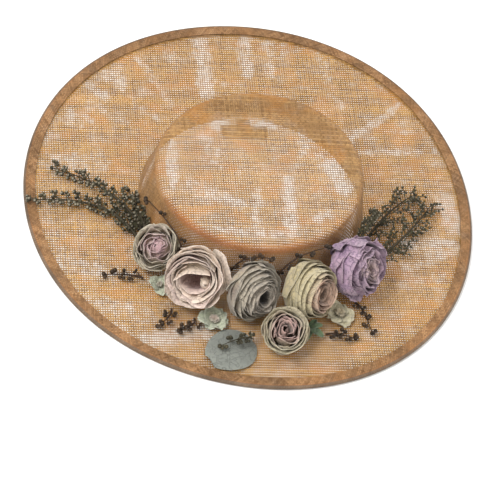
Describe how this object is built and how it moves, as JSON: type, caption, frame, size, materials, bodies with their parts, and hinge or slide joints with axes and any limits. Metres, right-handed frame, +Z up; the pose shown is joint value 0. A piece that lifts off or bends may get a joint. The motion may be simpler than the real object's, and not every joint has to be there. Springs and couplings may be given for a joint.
{
  "type": "flat brim hat",
  "caption": "Wide flat-brimmed straw hat with a low flat crown, bound edge, and a front trim of cloth roses, florets, leaves and berry sprigs.",
  "frame": {"origin": "on the surface that the hat rests on, under the middle of the brim's outline", "axes": "+Z up through the crown, -Y towards the trimmed front, +X to the right when seen from the front"},
  "size_m": [0.3848, 0.3848, 0.0559],
  "materials": {
    "straw_cloth": "open plain weave of stiffened straw fibre, golden tan with pale patches",
    "straw_binding": "folded bias strip of the same straw cloth, darker where it is double",
    "tab_cloth": "plain brown tape",
    "petals_sage": "matt cloth petals, grey green with mauve edges",
    "petals_blush": "matt cloth petals, cream and blush",
    "petals_grey": "matt cloth petals, grey green",
    "petals_cream": "matt cloth petals, cream green with a blush middle",
    "petals_lilac": "matt cloth petals, lilac with dark folds",
    "petals_mauve": "matt cloth petals, sage with a mauve middle",
    "floret_cloth": "pale mint and cream cloth",
    "leaf_grey": "smooth grey green cloth leaf",
    "leaf_green": "green cloth leaf",
    "sprig_green": "dark olive moulded berries on wired stems",
    "spray_brown": "dark brown moulded berries on wired stems"
  },
  "bodies": {
    "root": {"brim": "straw_cloth", "brim_binding": "straw_binding", "crown": "straw_cloth", "head_tab": "tab_cloth", "rose_sage": "petals_sage", "rose_blush": "petals_blush", "rose_grey": "petals_grey", "rose_cream": "petals_cream", "rose_lilac": "petals_lilac", "rose_mauve": "petals_mauve", "floret_left": "floret_cloth", "floret_mint": "floret_cloth", "floret_right": "floret_cloth", "leaf_round": "leaf_grey", "leaf_pair": "leaf_green", "sprig_left_upper": "sprig_green", "sprig_left_lower": "sprig_green", "sprig_left_short": "sprig_green", "sprig_right_upper": "sprig_green", "sprig_right_lower": "sprig_green", "sprig_right_crown": "sprig_green", "spray_thin_left": "spray_brown", "spray_brown_left": "spray_brown", "spray_brown_front": "spray_brown", "spray_brown_middle": "spray_brown", "spray_crown_front": "spray_brown", "spray_crown_right": "spray_brown", "spray_brown_right": "spray_brown", "spray_brown_bottom": "spray_brown", "spray_leaf_berries": "sprig_green"}
  },
  "joints": []
}
